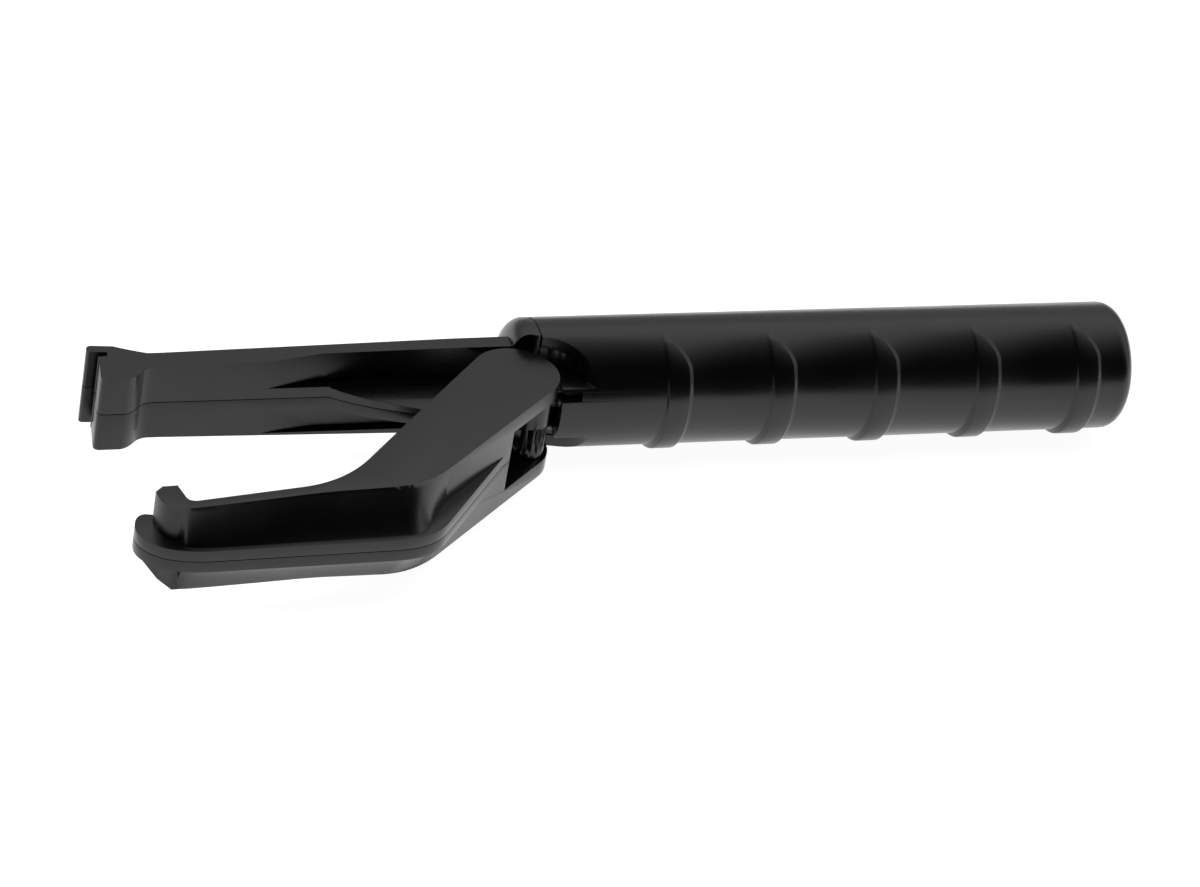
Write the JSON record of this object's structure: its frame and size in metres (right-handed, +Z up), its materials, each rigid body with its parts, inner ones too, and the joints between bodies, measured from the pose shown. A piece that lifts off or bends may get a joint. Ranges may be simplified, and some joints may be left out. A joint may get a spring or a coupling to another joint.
{
  "type": "electrode holder",
  "caption": "Insulated tong-type arc-welding electrode holder: ribbed round grip, long fixed jaw with a notched tip and a hinged cranked lever jaw, shown open.",
  "frame": {"origin": "bottom centre of the whole holder's bounding box in the open, stored pose", "axes": "+X along the grip from the jaws to the cable end, +Z up along the lever's pivot, +Y from the lever side to the fixed jaw's side"},
  "size_m": [0.2658, 0.0844, 0.0331],
  "materials": {
    "black_plastic": "satin moulded",
    "rubber": "matt",
    "brass": "machined",
    "copper": "drawn",
    "steel": "zinc plated"
  },
  "bodies": {
    "grip": {"handle_tube": "black_plastic", "fixed_jaw_upper_shell": "black_plastic", "fixed_jaw_lower_shell": "black_plastic", "conductor_bar": "copper", "fixed_contact": "brass", "pivot_bush": "brass", "spring_seat": "black_plastic", "closing_spring": "steel", "cable_socket": "brass", "cable_pressure_strip": "brass", "handle_screw": "steel", "cable_entry_bush": "rubber", "gusset_screw": "steel", "cable_clamp_screw_1": "steel", "cable_clamp_screw_2": "steel"},
    "lever": {"lever_upper_shell": "black_plastic", "lever_lower_shell": "black_plastic", "lever_core": "steel", "link_pin": "steel", "pivot_pin": "steel", "lever_screw_1": "steel", "lever_screw_2": "steel"},
    "draw_rod_set": {"draw_rod": "steel", "spring_washer": "steel", "rod_nut": "steel"}
  },
  "joints": [
    {"name": "lever_pivot", "type": "hinge", "parent": "grip", "child": "lever", "pos_m": [-0.02687, 0.00907, 0.01715], "axis": [0, 0, -1], "range_deg": [0, 25.2]},
    {"name": "draw_slide", "type": "slide", "parent": "grip", "child": "draw_rod_set", "axis": [1, 0, 0], "range_m": [0, 0.00396], "deforming": ["closing_spring"]}
  ],
  "couplings": [
    {"joint": "draw_slide", "follows": "lever_pivot", "m_per_rad": 0.008928}
  ]
}
